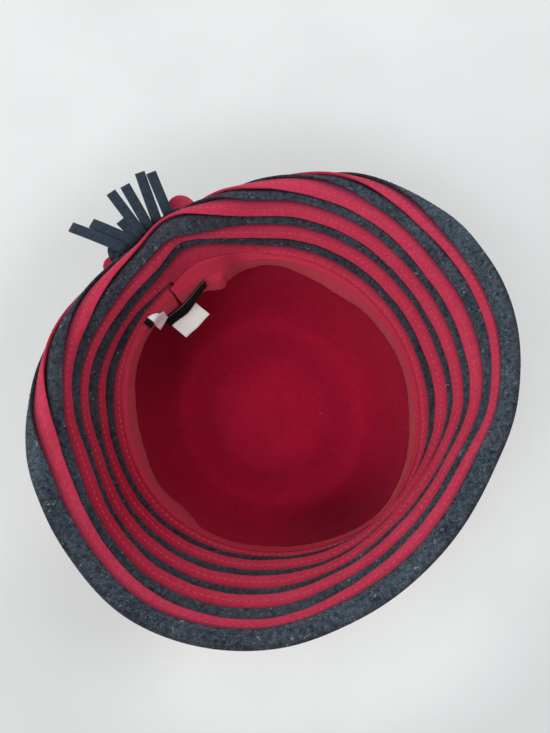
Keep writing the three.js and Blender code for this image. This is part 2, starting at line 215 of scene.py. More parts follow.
def felt(name, ground_pair, hair_pair, shade_pair, *, hair_amount, sheen, sheen_tint, flecks=None):
    """A felt with a mottled ground, light and dark hairs, hollow and lapped painted shade, and a fibrous
    bump.
    """
    material, shader, place = new_material(
        name, Sheen_Weight=sheen, Sheen_Roughness=0.45, Sheen_Tint=sheen_tint, IOR=1.4,
        Specular_IOR_Level=0.12,
    )
    mottle = noise(place, 420, detail=5.0, roughness=0.62)
    cloud = noise(place, 45, detail=3.0, shift=0.11)
    ground = (mottle * 0.7 + cloud * 0.3).between(0.3, 0.7).mix(*ground_pair)
    light = hairs(place, 620, 0.035, 0.55, 0.21) + hairs(place, 1100, 0.05, 0.5, 0.53)
    dark = hairs(place, 760, 0.04, 0.5, 0.71)
    with_dark = (dark * hair_amount).mix(ground, hair_pair[0])
    finished = (light * hair_amount).mix(with_dark, hair_pair[1])
    if flecks:
        fleck = noise(place, 260, detail=1.0, distortion=1.2, shift=0.93).between(0.71, 0.75)
        finished = (fleck * 0.75).mix(finished, flecks)
    darkened = shaded(place, "lapped", shaded(place, "hollow", finished, shade_pair[0]), shade_pair[1])
    fine = noise(place, 1900, detail=3.0, roughness=0.7, shift=0.41)
    height = mottle * 0.5 + fine * 0.35 + light * 0.3
    bump = place.out("ShaderNodeBump", 0, Height=height, Strength=0.55, Distance=0.0006)
    paint(shader, Base_Color=darkened, Roughness=0.86 + mottle * 0.14, Normal=bump)
    return material


RED_FELT = felt(
    "red_felt", (srgb(189, 50, 77), srgb(208, 66, 94)), (srgb(148, 30, 52), srgb(218, 94, 118)),
    (srgb(160, 8, 36), srgb(126, 45, 67)),
    hair_amount=0.3, sheen=0.2, sheen_tint=srgb(255, 150, 170),
)
CROWN_FELT = felt(
    "crown_felt", (srgb(180, 23, 57), srgb(202, 30, 67)), (srgb(144, 15, 43), srgb(214, 50, 86)),
    [srgb(104, 8, 36)] * 2,
    hair_amount=0.25, sheen=0.2, sheen_tint=srgb(255, 120, 145),
)
CHARCOAL_FELT = felt(
    "charcoal_felt", (srgb(28, 35, 44), srgb(80, 90, 102)), (srgb(18, 22, 29), srgb(130, 144, 152)),
    (srgb(40, 10, 16), srgb(34, 9, 14)),
    hair_amount=0.5, sheen=0.1, sheen_tint=srgb(190, 205, 220), flecks=srgb(140, 150, 154),
)
FRINGE_FELT = felt(
    "fringe_felt", (srgb(40, 48, 58), srgb(56, 66, 77)), (srgb(22, 26, 33), srgb(76, 88, 99)),
    [srgb(14, 15, 20)] * 2,
    hair_amount=0.3, sheen=0.1, sheen_tint=srgb(190, 205, 220),
)
print("felts:", RED_FELT.name, CROWN_FELT.name, CHARCOAL_FELT.name, FRINGE_FELT.name)

# %% [markdown]
# ## Woven cloth, ribbon and thread
# The sweatband is a plain cloth, the label a tight black ribbon and the care tag a white satin tape. Their
# threads run along and across the piece, so their weave is drawn on the piece's own UV map, which is measured
# in metres. Two waves, one each way, are enough for a weave this fine. A cloth may have another colour by the
# edge that its UV map starts from: the sweatband has painted shade there, along its top edge where it lies
# over the first strip, and the label has a pale woven border. Like the felt, a cloth has painted shade where
# its hollow value says so. The white tape is given a faint glow of painted light, because the light alone
# leaves it duller than the real one looks.

# %% Cloth materials
def cloth(name, colour, shade, threads, contrast, roughness, *, border_and_edge_shade, border_and_shade_span, hollow_shade_colour, sheen=0.1, glow=0):
    """A plain weave with so many threads in each metre, on the piece's UV map, with a colour by one edge for
    a woven border and for painted shade, and painted shade where its hollow value says so.
    """
    material, shader, place = new_material(
        name, Sheen_Weight=sheen, Sheen_Roughness=0.5, IOR=1.45, Specular_IOR_Level=0.2,
        Emission_Color=colour, Emission_Strength=glow,
    )
    uv = place.out("ShaderNodeUVMap", 0, {"uv_map": "cloth"})
    along = place.out("ShaderNodeSeparateXYZ", 0, Vector=uv)
    across = place.out("ShaderNodeSeparateXYZ", 1, Vector=uv)
    turns = threads * math.tau
    warp = place.maths("SINE", along * turns)
    weft = place.maths("SINE", across * turns)
    weave = (warp * weft) * 0.5 + 0.5
    slub = noise(place, 180, detail=4.0, roughness=0.6)
    tone = (weave * contrast + slub * (1 - contrast)).between(0.25, 0.75)
    woven = across.between(*border_and_shade_span).mix(border_and_edge_shade, tone.mix(shade, colour))
    darkened = shaded(place, "hollow", woven, hollow_shade_colour)
    height = weave * 0.6 + slub * 0.4
    bump = place.out("ShaderNodeBump", 0, Height=height, Strength=0.4, Distance=0.0003)
    paint(shader, Base_Color=darkened, Roughness=roughness + slub * 0.1, Normal=bump)
    return material


def thread(name, colour, shade):
    """A twisted sewing thread."""
    material, shader, place = new_material(name, IOR=1.45)
    twist = noise(place, 1500, detail=2.0)
    paint(shader, Base_Color=twist.between(0.3, 0.7).mix(shade, colour), Roughness=0.6 + twist * 0.2)
    return material


# The sweatband's darker colour along its top edge is painted shade, and so is its hollow shade.
SWEATBAND_CLOTH = cloth(
    "sweatband_cloth", srgb(236, 66, 97), srgb(225, 59, 87), 1900, 0.35, 0.85,
    border_and_edge_shade=srgb(198, 49, 73), border_and_shade_span=(0.003, 0.010), hollow_shade_colour=srgb(140, 8, 34),
)
LABEL_RIBBON = cloth(
    "label_ribbon", srgb(17, 17, 21), srgb(7, 7, 9), 2600, 0.6, 0.6,
    border_and_edge_shade=srgb(150, 150, 152), border_and_shade_span=(0.0003, 0.0006), hollow_shade_colour=srgb(4, 4, 5), sheen=0.02,
)
# The tape's faint glow is painted light.
TAG_TAPE = cloth(
    "tag_tape", srgb(255, 255, 251), srgb(248, 247, 242), 2600, 0.3, 0.5,
    border_and_edge_shade=srgb(250, 249, 244), border_and_shade_span=(0.0003, 0.0006), hollow_shade_colour=srgb(200, 195, 190), sheen=0.6, glow=0.07,
)
RED_THREAD = thread("red_thread", srgb(232, 88, 106), srgb(214, 70, 90))
GREY_THREAD = thread("grey_thread", srgb(54, 61, 69), srgb(40, 46, 54))
print("cloths:", SWEATBAND_CLOTH.name, LABEL_RIBBON.name, TAG_TAPE.name)

# %% [markdown]
# ## The brim's own surface
# Felt that has been steamed over a block and worn has no simple formula. Round the head, the brim stands
# steep in some places and lies flat in others, and at the back it rolls over and hangs outside. So a short
# table says, for some azimuths, where the seam is and how much the brim leans at six distances from it. A
# smooth curve runs through the rows, and adding up the leans from the seam outwards gives the surface.

# %% Brim tables
CROWN_DEPTH = 100.0
LEAN_SLANTS = [3, 13.5, 27.5, 41.5, 55.5, 69]
BRIM_ROWS = [
    # azimuth, seam radius, lip, first turn, second turn, third turn, fourth turn, rim
    [15, 87.5, 40, 44, 57, 45, 60, 68],
    [40, 90, 46, 52, 46, 44, 55, 60],
    [63, 93, 75, 66, 54, 56, 60, 60],
    [75, 92, 62, 64, 62, 58, 60, 60],
    [87, 90.5, 60, 88, 66, 62, 60, 60],
    [105, 90, 55, 88, 66, 62, 60, 60],
    [125, 88.5, 46, 76, 64, 76, 58, 64],
    [140, 87, 48, 74, 66, 80, 50, 70],
    [155, 86.5, 48, 75, 78, 76, 46, 67],
    [175, 86.5, 46, 72, 68, 76, 59, 70],
    [195, 86.5, 64, 65, 64, 64, 61, 72],
    [225, 87, 82, 72, 63, 66, 68, 72],
    [245, 89, 87, 76, 79, 76, 73, 63],
    [270, 93.5, 102, 91, 85, 76, 73, 65],
    [295, 92, 76, 82, 85, 83, 76, 62],
    [315, 88.5, 54, 53, 74, 68, 78, 76],
    [335, 87.5, 60, 52, 66, 53, 60, 70],
    [355, 86.5, 44, 50, 66, 54, 45, 68],
]
FOLD = {
    "azimuth": 75, "half_width": 78, "crest": 37.5, "crest_rise": 33, "power": 1.6, "turn": 150, "roll": 24,
}


def table_at(rows, azimuth):
    """A table's values at some azimuths, by a smooth curve through its rows that closes on itself."""
    table = np.array(rows, float)
    places = np.concatenate([table[-2:, 0] - 360, table[:, 0], table[:2, 0] + 360])
    values = np.concatenate([table[-2:, 1:], table[:, 1:], table[:2, 1:]])
    turned = (np.asarray(azimuth, float) - table[0, 0]) % 360 + table[0, 0]
    i = np.searchsorted(places, turned, side="right") - 1
    span = (places[i + 1] - places[i])[..., None]
    t = (turned - places[i])[..., None] / span
    slope_from = (values[i + 1] - values[i - 1]) / (places[i + 1] - places[i - 1])[..., None] * span
    slope_to = (values[i + 2] - values[i]) / (places[i + 2] - places[i])[..., None] * span
    rise = values[i + 1] - values[i]
    square = 3 * rise - 2 * slope_from - slope_to
    cube = slope_from + slope_to - 2 * rise
    return values[i] + t * (slope_from + t * (square + t * cube))


def smooth(share):
    share = np.clip(share, 0, 1)
    return share * share * (3 - 2 * share)


def bell(away, reach):
    """1 at a place and falling smoothly to 0 away from it."""
    return np.exp(-((away / reach) ** 2))


def degrees_from(middle, azimuth):
    """How far round azimuths are from a middle one, from -180 to 180."""
    return (azimuth - middle + 540) % 360 - 180


def darker_by(rows, azimuth):
    """The painted shade at some azimuths from rows of a middle azimuth, a reach in degrees and a depth."""
    return sum(depth * bell(degrees_from(middle, azimuth), reach) for middle, reach, depth in rows)


def polar(azimuth, radius, height):
    """Points from azimuths in degrees, radii and heights."""
    angle = np.radians(azimuth)
    return np.stack(np.broadcast_arrays(radius * np.cos(angle), radius * np.sin(angle), height), axis=-1)


print("the brim's table has", len(BRIM_ROWS), "rows")

# %% [markdown]
# Working the surface out once on a fine grid, and reading every later point from that grid, is both quick and
# exact enough. A second grid holds the direction square to the surface, towards the inside of the hat.

# %% Work out the brim's surface
GRID_DEGREES = 0.5
GRID_SLANT = 0.5
SLANT_LOW = -9.0
SLANT_HIGH = 80.0

grid_azimuth = np.arange(0, 360 + GRID_DEGREES, GRID_DEGREES)
grid_slant = np.arange(SLANT_LOW, SLANT_HIGH + GRID_SLANT, GRID_SLANT)


def brim_leans(azimuth, slant):
    """The lean in radians on a grid of azimuths and slant distances, with the roll of the turned-up back."""
    leans = table_at(BRIM_ROWS, azimuth)[:, 1:]
    lean = np.array([np.interp(slant, LEAN_SLANTS, row) for row in leans])
    away = np.abs(degrees_from(FOLD["azimuth"], azimuth)) / FOLD["half_width"]
    crest = FOLD["crest"] + FOLD["crest_rise"] * away ** FOLD["power"]
    return np.radians(lean - FOLD["turn"] * smooth((slant - crest[:, None]) / FOLD["roll"] + 0.5))


def brim_grid():
    middles = grid_slant[:-1] + GRID_SLANT / 2
    lean = brim_leans(grid_azimuth, middles)
    start = np.searchsorted(grid_slant, 0.0)
    seam = table_at(BRIM_ROWS, grid_azimuth)[:, 0]

    def summed(steps, at_seam):
        total = np.concatenate([np.zeros((len(steps), 1)), np.cumsum(steps * GRID_SLANT, axis=1)], axis=1)
        return total - total[:, start:start + 1] + at_seam[:, None]

    radius = summed(np.cos(lean), seam)
    height = summed(np.sin(lean), np.full(len(seam), CROWN_DEPTH))
    points = polar(grid_azimuth[:, None], radius, height)
    along = np.gradient(points, axis=1)
    around = np.roll(points[:-1], -1, axis=0) - np.roll(points[:-1], 1, axis=0)
    inward = np.cross(along[:-1], around)
    inward /= np.linalg.norm(inward, axis=-1, keepdims=True)
    return points, np.concatenate([inward, inward[:1]])


BRIM_POINTS, BRIM_INWARD = brim_grid()


def brim_point(azimuth, slant, offset):
    """Points of the brim, moved by an offset square to it, towards the inside of the hat."""
    azimuth, slant, offset = np.broadcast_arrays(np.asarray(azimuth, float) % 360, slant, offset)
    row = azimuth / GRID_DEGREES
    column = np.clip((slant - SLANT_LOW) / GRID_SLANT, 0, len(grid_slant) - 1.001)
    i, j = row.astype(int), column.astype(int)
    s, t = (row - i)[..., None], (column - j)[..., None]

    def read(grid):
        low = grid[i, j] * (1 - t) + grid[i, j + 1] * t
        high = grid[i + 1, j] * (1 - t) + grid[i + 1, j + 1] * t
        return low * (1 - s) + high * s

    return read(BRIM_POINTS) + read(BRIM_INWARD) * offset[..., None]


print("brim grid of", BRIM_POINTS.shape[:2], "points, rim up to", round(BRIM_POINTS[..., 2].max()), "mm high")

# %% [markdown]
# ## A skin through sections
# Strips, bands, ribbons and the crown are all long things with a thin cross-section, so one helper makes them
# all: it takes a row of sections, each a closed loop of points up one face and back down the other, and skins
# them into one closed mesh. It also lays a UV map in metres for the woven cloths, and keeps the shades that a
# piece is given by name. A gentle wobble, a sum of a few waves that close round the hat, keeps cut edges from
# looking machined.

# %% Skin helper
def skin_faces(sections, ring):
    """Faces and their UV corners for one closed skin through sections, each a loop of points in metres."""
    rows, loop = sections.shape[:2]
    first = np.arange(rows if ring else rows - 1)[:, None]
    second = (first + 1) % rows
    j = np.arange(loop)
    k = (j + 1) % loop
    faces = np.stack([first * loop + j, second * loop + j, second * loop + k, first * loop + k], axis=-1)
    length = np.linalg.norm(np.diff(sections[:, 0], axis=0), axis=1)
    u = np.concatenate([[0], np.cumsum(length), [np.sum(length) + length[-1]]])
    edges = np.linalg.norm(np.roll(sections[0], -1, axis=0) - sections[0], axis=1)
    v = np.concatenate([[0], np.cumsum(edges)])
    corners = [(u[i], u[i + 1], v[m], v[m + 1]) for i in first[:, 0] for m in range(loop)]
    uvs = [uv for a, b, c, d in corners for uv in ((a, c), (b, c), (b, d), (a, d))]
    faces = faces.reshape(-1, 4).tolist()
    if not ring:
        last = (rows - 1) * loop
        for m in range(loop // 2 - 1):
            near = [m, m + 1, loop - 2 - m, loop - 1 - m]
            for cap in (near, [last + x for x in reversed(near)]):
                faces.append(cap)
                uvs += [(0.0, 0.0), (MM, 0.0), (MM, MM), (0.0, MM)]
    return faces, uvs


def skin(name, lofts, material, slot, ring=False, **shades):
    """A piece of closed smooth shells, each through sections in millimetres, with its named shades."""
    points, faces, uvs = [], [], []
    for sections in lofts:
        sections = np.asarray(sections, float) * MM
        its_faces, its_uvs = skin_faces(sections, ring)
        faces += [[len(points) + corner for corner in face] for face in its_faces]
        points += sections.reshape(-1, 3).tolist()
        uvs += its_uvs
    mesh = bpy.data.meshes.new(name)
    mesh.from_pydata(points, [], faces)
    layer = mesh.uv_layers.new(name="cloth")
    layer.data.foreach_set("uv", np.array(uvs, np.float32).ravel())
    for label, values in shades.items():
        shade_layer = mesh.attributes.new(label, "FLOAT", "POINT")
        shade_layer.data.foreach_set("value", np.asarray(values, np.float32).ravel())
    shell = bmesh.new()
    shell.from_mesh(mesh)
    bmesh.ops.remove_doubles(shell, verts=shell.verts, dist=1e-6)
    bmesh.ops.recalc_face_normals(shell, faces=shell.faces)
    shell.to_mesh(mesh)
    shell.free()
    mesh.shade_smooth()
    mesh.materials.append(material)
    return add_piece(name, mesh)


def add_piece(name, mesh):
    """An object for a finished mesh, riding on the hat."""
    piece = bpy.data.objects.new(name, mesh)
    bpy.context.scene.collection.objects.link(piece)
    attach(piece, BODY)
    return piece


def wobble(azimuth, seed, waves=((3, 0.5), (7, 0.3), (13, 0.25), (29, 0.15), (61, 0.1))):
    """A gentle uneven number round the hat, about 1 at most, that closes on itself."""
    phases = np.random.default_rng(seed).uniform(0, math.tau, len(waves))
    angle = np.radians(azimuth)
    return sum(share * np.sin(count * angle + phase) for (count, share), phase in zip(waves, phases))


print("skin helper is ready")

# %% [markdown]
# ## The crown
# One piece of felt was steamed over a block: a flattened tip with a shallow groove and a ledge round it, a
# round shoulder and a wall up to the seam. From above only its inside shows. It could be spun from a profile,
# but the seam isn't round, so the profile is scaled to the seam radius at each azimuth. A curve through a
# short table gives the profile, and small waves give the hand-worked unevenness that catches the light. How
# much shade is painted into the felt at each height, and more so at two azimuths, was chosen.

# %% Build the crown
CROWN_THICKNESS = 2.0
CROWN_ROWS = [
    # height, share of the seam radius, how much painted shade it has there
    [3.6, 0.0, 0.0],
    [3.5, 0.2, 0.0],
    [2.8, 0.37, 0.05],
    [2.2, 0.46, 0.16],
    [2.7, 0.54, 0.28],
    [5.2, 0.61, 0.22],
    [10.0, 0.68, 0.15],
    [12.4, 0.745, 0.1],
    [15.4, 0.8, 0.2],
    [24.0, 0.88, 0.2],
    [40.0, 0.955, 0.22],
    [60.0, 1.005, 0.22],
    [78.0, 1.025, 0.25],
    [91.0, 1.012, 0.3],
]
CROWN_UNEVEN = {"size": 0.6, "twist": 2.2, "from": 4, "until": 95, "fade": 20}
CROWN_SHADES = [
    # azimuth, reach in degrees, how much more painted shade the wall has there
    [102, 26, 0.42],
    [257, 28, 0.5],
]
FIRST_EDGE = -1.5
STRIP_FELT = 1.5
STRIP_WIDTH = 10.5
STRIP_STEP = 7.0
PITCH = 2 * STRIP_STEP
LAP_GAP = 0.96
LAP_SLOPE = (STRIP_FELT + LAP_GAP) / STRIP_STEP
STRIPS_BEGIN = 85.0
STEP_OUT_FROM = 46.0
STEP_OUT_TO = 80.0
CROWN_TUCK = 4.5


def pitches_out(angle):
    """How many pitches a strip has moved out when it has wound this many degrees."""
    turn = np.floor(angle / 360)
    start = (STEP_OUT_FROM - STRIPS_BEGIN) % 360
    return turn + smooth((angle - 360 * turn - start) / (STEP_OUT_TO - STEP_OUT_FROM))


def smooth_profile(rows, parts):
    """A denser profile, by a curve that passes through every row."""
    table = np.array(rows, float)
    padded = np.concatenate([2 * table[:1] - table[1:2], table, 2 * table[-1:] - table[-2:-1]])
    steps = np.linspace(0, len(table) - 1, parts)
    i = np.minimum(steps.astype(int), len(table) - 2)
    t = (steps - i)[:, None]
    a, b, c, d = padded[i], padded[i + 1], padded[i + 2], padded[i + 3]
    return b + 0.5 * t * (c - a + t * (2 * a - 5 * b + 4 * c - d + t * (3 * (b - c) + d - a)))


def crown_sections(step=1.5):
    """Sections of the crown, and how much painted shade the felt has at each of their points."""
    profile = smooth_profile(CROWN_ROWS, 70)
    sections, hollow = [], []
    for azimuth in np.arange(STRIPS_BEGIN, STRIPS_BEGIN + 360, step):
        seam = table_at(BRIM_ROWS, [azimuth])[0, 0]
        edge = FIRST_EDGE + PITCH * float(pitches_out(azimuth - STRIPS_BEGIN))
        height, radius = profile[:, 0], profile[:, 1] * seam
        wall = smooth((height - CROWN_UNEVEN["from"]) / CROWN_UNEVEN["fade"])
        below_seam = smooth((CROWN_UNEVEN["until"] - height) / CROWN_UNEVEN["fade"])
        uneven = CROWN_UNEVEN["size"] * wobble(azimuth + CROWN_UNEVEN["twist"] * height, 11)
        uneven = uneven * wall * below_seam
        along = np.gradient(np.stack([radius, height], axis=1), axis=0)
        along /= np.linalg.norm(along, axis=1, keepdims=True)
        inner = polar(azimuth, radius + uneven, height)
        outer_height = np.maximum(height - CROWN_THICKNESS * along[:, 0], 0.0)
        outer = polar(azimuth, radius + uneven + CROWN_THICKNESS * along[:, 1], outer_height)
        slant = np.linspace(FIRST_EDGE, edge + CROWN_TUCK, 7)
        under = LAP_SLOPE * (STRIP_WIDTH / 2 - np.maximum(0, slant - edge)) - STRIP_FELT / 2 - LAP_GAP
        inner = np.concatenate([inner, brim_point(azimuth, slant, under)])
        outer = np.concatenate([outer, brim_point(azimuth, slant, under - CROWN_THICKNESS)])
        sections.append(np.concatenate([inner, outer[::-1]]))
        dark = np.append(np.clip(profile[:, 2], 0, 1), np.full(len(slant), CROWN_ROWS[-1][2]))
        dark = dark + darker_by(CROWN_SHADES, azimuth) * np.append(wall, np.ones(len(slant)))
        hollow.append(np.concatenate([dark, dark[::-1]]))
    return sections, hollow


crown_loft, crown_hollow = crown_sections()
crown = skin("crown_shell", [crown_loft], CROWN_FELT, "crown_felt", ring=True, hollow=crown_hollow)
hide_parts("crown")
print("crown:", len(crown.data.polygons), "faces")

# %% [markdown]
# ## The brim's two strips
# The brim is one red and one charcoal strip of felt that wind round the head together, five turns each. The
# inner cut edge of each strip lies over the strip before it and is sewn down, which gives the ridges. Each
# turn keeps its distance from the seam until the back, where it steps out by one pitch. A section across the
# strip has two faces with softly rounded cut edges, a shallow groove where the stitches pull the felt down,
# and a slight puff between the grooves. The section is then carried along the winding.

# %% Build the strips
TURNS = 5
STRIP_DEGREES = 1.25
RIM = FIRST_EDGE + STRIP_STEP + (TURNS - 1) * PITCH + STRIP_WIDTH
EDGES = {
    # strip: its inner edge's shift from an even spacing, a wave in it and the wave's azimuth
    "red": (-0.6, 1.6, 132),
    "charcoal": (1.2, -1.5, 106),
}
EDGE_WAVE_REACH = 20.0
EDGE_BUMPS = {
    # strip: rows of winding angle, reach in degrees and shift of the inner edge there
    "red": [[553, 14, -1.8], [913, 20, -1.6], [1578, 34, 2.2], [1690, 45, 2.3]],
    "charcoal": [[706, 11, -4.5], [1745, 28, -2.5]],
}
# Painted shade on the strips: darker on the inner turns, by the cut edges and at one side, and a painted
# shadow under the next strip's edge.
INNER_SHADE = {"red": 0.32, "charcoal": 0.5}
INNER_SHADE_POWER = 1.5
CUT_SHADE = {"red": 0.2, "charcoal": 0.45}
CUT_SHADE_WIDTH = 1.1
LAP_SHADE_WIDTH = {"red": 4.0, "charcoal": 1.8}
SIDE_SHADE = {"red": 0.5, "charcoal": 0.1}
SIDE_SHADE_PLACE = {"azimuth": 168.0, "reach": 38.0, "until": 0.75, "fade": 0.15}
START_LAP = {"more": 3.2, "degrees": 24.0}
NEAR_EDGE = [0, 0.06, 0.2, 0.45, 1.1, 1.9, 2.6, 3.1, 3.5, 3.9, 4.4, 5.2]
FAR_SHARES = [0.15, 0.35, 0.6, 0.85, 0.93, 0.97, 0.99, 1.0]
EDGE_ROUND = 0.45
EDGE_LEFT = 0.45
PUFF = 0.16
BY_SEAM_UNTIL = 359.5
EDGE_WOBBLE = 0.22
EDGE_WAVES = ((31, 0.5), (83, 0.4), (151, 0.35))
LIE_WOBBLE = 0.12
LIE_WAVES = ((23, 0.6), (57, 0.4))


def half_thickness(distance, width):
    """Half the felt's thickness across a strip, rounded off near both cut edges."""
    to_edge = np.minimum(distance, width - distance) / EDGE_ROUND
    arc = np.sqrt(np.clip(1 - (1 - np.minimum(to_edge, 1)) ** 2, 0, 1))
    return STRIP_FELT / 2 * (EDGE_LEFT + (1 - EDGE_LEFT) * arc)


def puff(distance, width):
    """How far the felt swells between its edges."""
    return PUFF * np.sin(np.pi * distance / width) ** 2


def groove(distance, middle, depth, width=0.55):
    """How far stitches at one place pull the face down."""
    return depth * bell(distance - middle, width)


def strip_angles(end_azimuth):
    end = 360 * (TURNS - 1) + end_azimuth - STRIPS_BEGIN
    return np.arange(0, end + STRIP_DEGREES / 2, STRIP_DEGREES)


def edge_shift(kind, angle):
    """How far a strip's inner edge is from its even place."""
    shift, wave, wave_azimuth = EDGES[kind]
    away = (STRIPS_BEGIN + angle) % 360 - wave_azimuth
    bumps = sum(bump * bell(angle - at, reach) for at, reach, bump in EDGE_BUMPS[kind])
    return shift + wave * bell(away, EDGE_WAVE_REACH) + bumps


def strip_edges(kind, first_edge, angle):
    """Slants of a strip's even place and its two edges, and where it lies by the seam and stays put."""
    even = first_edge + PITCH * pitches_out(angle)
    by_seam = (kind == "red") & (angle < BY_SEAM_UNTIL)
    more = START_LAP["more"] * (1 - smooth((angle - 360) / START_LAP["degrees"])) * (kind == "red")
    inner = np.where(by_seam, FIRST_EDGE, even + edge_shift(kind, angle) - more)
    return even, inner, np.minimum(even + STRIP_WIDTH, RIM), by_seam


def strip_place(kind, first_edge, angle, distance, seed):
    """Azimuth, slant and middle offset on a strip, at a distance from its inner edge."""
    even, inner, outer, by_seam = strip_edges(kind, first_edge, angle)
    uneven = EDGE_WOBBLE * wobble(angle / TURNS, seed, EDGE_WAVES)
    slant = inner + distance + uneven * (1 - distance / (outer - inner))
    lie = LIE_WOBBLE * wobble(angle / TURNS, seed + 1, LIE_WAVES)
    past = np.where(by_seam, np.maximum(slant - even, 0), slant - even)
    return STRIPS_BEGIN + angle, slant, LAP_SLOPE * (STRIP_WIDTH / 2 - past) + lie


def strip_lapped_shade(kind, even, angle, slant):
    """How much painted shadow a strip has under the next strip's edge."""
    shift = edge_shift("charcoal", angle) if kind == "red" else edge_shift("red", angle + 360)
    next_edge = even + STRIP_STEP + shift
    lapped = smooth((slant - next_edge) / LAP_SHADE_WIDTH[kind] + 1)
    return np.where(next_edge + STRIP_STEP < RIM, lapped, 0)


def strip_hollow(kind, angle, from_edge):
    """How much painted shade a strip has by its cut edges, on its inner turns, and on all but the last turn
    at one side.
    """
    wound = np.clip(angle / (360 * (TURNS - 0.5)), 0, 1)
    cut = CUT_SHADE[kind] * (1 - smooth(from_edge / CUT_SHADE_WIDTH))
    at = SIDE_SHADE_PLACE
    side = SIDE_SHADE[kind] * bell(degrees_from(at["azimuth"], STRIPS_BEGIN + angle), at["reach"])
    side = side * (1 - smooth((wound - at["until"]) / at["fade"]))
    return np.maximum(cut, INNER_SHADE[kind] * (1 - wound ** INNER_SHADE_POWER) + side)


def strip_sections(kind, first_edge, end_azimuth, stitch_line, stitch_depth, seed):
    """Sections of a strip, and its hollow and lapped painted shade at each of their points."""
    angle = strip_angles(end_azimuth)[:, None]
    even, inner, outer, _ = strip_edges(kind, first_edge, angle)
    width = outer - inner
    near = np.array(NEAR_EDGE)[None, :] + 0 * width
    far = NEAR_EDGE[-1] + (width - NEAR_EDGE[-1]) * np.array(FAR_SHARES)[None, :]
    distance = np.concatenate([near, far], axis=1)
    azimuth, slant, middle = strip_place(kind, first_edge, angle, distance, seed)
    half = half_thickness(distance, width)
    swell = puff(distance, width) - groove(distance, stitch_line, stitch_depth)
    top = brim_point(azimuth, slant, middle + half + swell)
    bottom = brim_point(azimuth, slant, middle - half)
    hollow = strip_hollow(kind, angle, np.minimum(distance, width - distance))
    lapped = strip_lapped_shade(kind, even, angle, slant)
    faces = ((bottom, top), (hollow, hollow), (lapped, lapped))
    return [np.concatenate([below, above[:, ::-1]], axis=1) for below, above in faces]


STRIPS = {
    # first edge, azimuth where the last turn ends, stitch line, stitch depth, seed
    "red": (FIRST_EDGE, 437.5, 3.5, 0.32, 21),
    "charcoal": (FIRST_EDGE + STRIP_STEP, 423.5, 1.9, 0.22, 33),
}
loft, hollow, lapped = strip_sections("red", *STRIPS["red"])
red_strip = skin("red_brim_strip", [loft], RED_FELT, "red_felt", hollow=hollow, lapped=lapped)
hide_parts("red_strip")
loft, hollow, lapped = strip_sections("charcoal", *STRIPS["charcoal"])
charcoal_strip = skin(
    "charcoal_brim_strip", [loft], CHARCOAL_FELT, "charcoal_felt", hollow=hollow, lapped=lapped,
)
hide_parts("charcoal_strip")
print("strips:", len(red_strip.data.polygons), "and", len(charcoal_strip.data.polygons), "faces")

# %% [markdown]
# ## Stitches
# A row of short threads holds each strip down. Each is the same little shape, again and again along a line,
# which is what Geometry Nodes are for: a path of edges becomes a curve, the curve is cut at the stitch pitch,
# and one long round bead is set on every point, turned along the curve, with a little unevenness from a fixed
# seed. The result is made a plain mesh, because instances don't leave Blender. A third row, thin and tangled,
# is the pale fuzz along the last charcoal turn.

# %% Stitch tree
def new_tree(name, sizes, material):
    """An empty geometry tree that takes a geometry, some named sizes, a seed and a material."""
    tree = bpy.data.node_groups.new(name, "GeometryNodeTree")
    kinds = {"Geometry": "Geometry", **dict.fromkeys(sizes, "Float"), "Seed": "Int", material: "Material"}
    for label, kind in kinds.items():
        tree.interface.new_socket(label, in_out="INPUT", socket_type="NodeSocket" + kind)
    tree.interface.new_socket("Geometry", in_out="OUTPUT", socket_type="NodeSocketGeometry")
    return tree, grow(tree, "NodeGroupInput").outputs, grow(tree, "NodeGroupOutput")


def finish_tree(tree, group_out, instances, material):
    real = grow(tree, "GeometryNodeRealizeInstances", Geometry=instances)
    rounded = grow(tree, "GeometryNodeSetShadeSmooth", Geometry=real.outputs[0])
    painted = grow(tree, "GeometryNodeSetMaterial", Geometry=rounded.outputs[0], Material=material)
    tree.links.new(painted.outputs[0], group_out.inputs[0])


def stitch_tree():
    tree, given, result = new_tree("stitches", ["Pitch", "Length", "Thickness", "Unevenness"], "Thread")
    line = grow(tree, "GeometryNodeMeshToCurve", Mesh=given["Geometry"])
    cut = grow(
        tree, "GeometryNodeResampleCurve", {"mode": "LENGTH"},
        Curve=line.outputs[0], Length=given["Pitch"],
    )
    bead = grow(tree, "GeometryNodeMeshUVSphere", Segments=6, Rings=5, Radius=0.5)
    size = grow(
        tree, "ShaderNodeCombineXYZ",
        X=given["Thickness"], Y=given["Thickness"], Z=given["Length"],
    )
    shaped = grow(tree, "GeometryNodeTransform", Geometry=bead.outputs[0], Scale=size.outputs[0])
    tangent = grow(tree, "GeometryNodeInputTangent")
    scaling = {"operation": "SCALE"}
    low = grow(tree, "ShaderNodeVectorMath", scaling, _0=(-1, -1, -1), Scale=given["Unevenness"])
    high = grow(tree, "ShaderNodeVectorMath", scaling, _0=(1, 1, 1), Scale=given["Unevenness"])
    stray = grow(
        tree, "FunctionNodeRandomValue", {"data_type": "FLOAT_VECTOR"},
        _0=low.outputs[0], _1=high.outputs[0], Seed=given["Seed"],
    )
    way = grow(tree, "ShaderNodeVectorMath", {"operation": "ADD"}, _0=tangent.outputs[0], _1=stray.outputs[0])
    turned = grow(tree, "FunctionNodeAlignRotationToVector", {"axis": "Z"}, Vector=way.outputs[0])
    placed = grow(
        tree, "GeometryNodeInstanceOnPoints",
        Points=cut.outputs[0], Instance=shaped.outputs[0], Rotation=turned.outputs[0],
    )
    finish_tree(tree, result, placed.outputs[0], given["Thread"])
    return tree


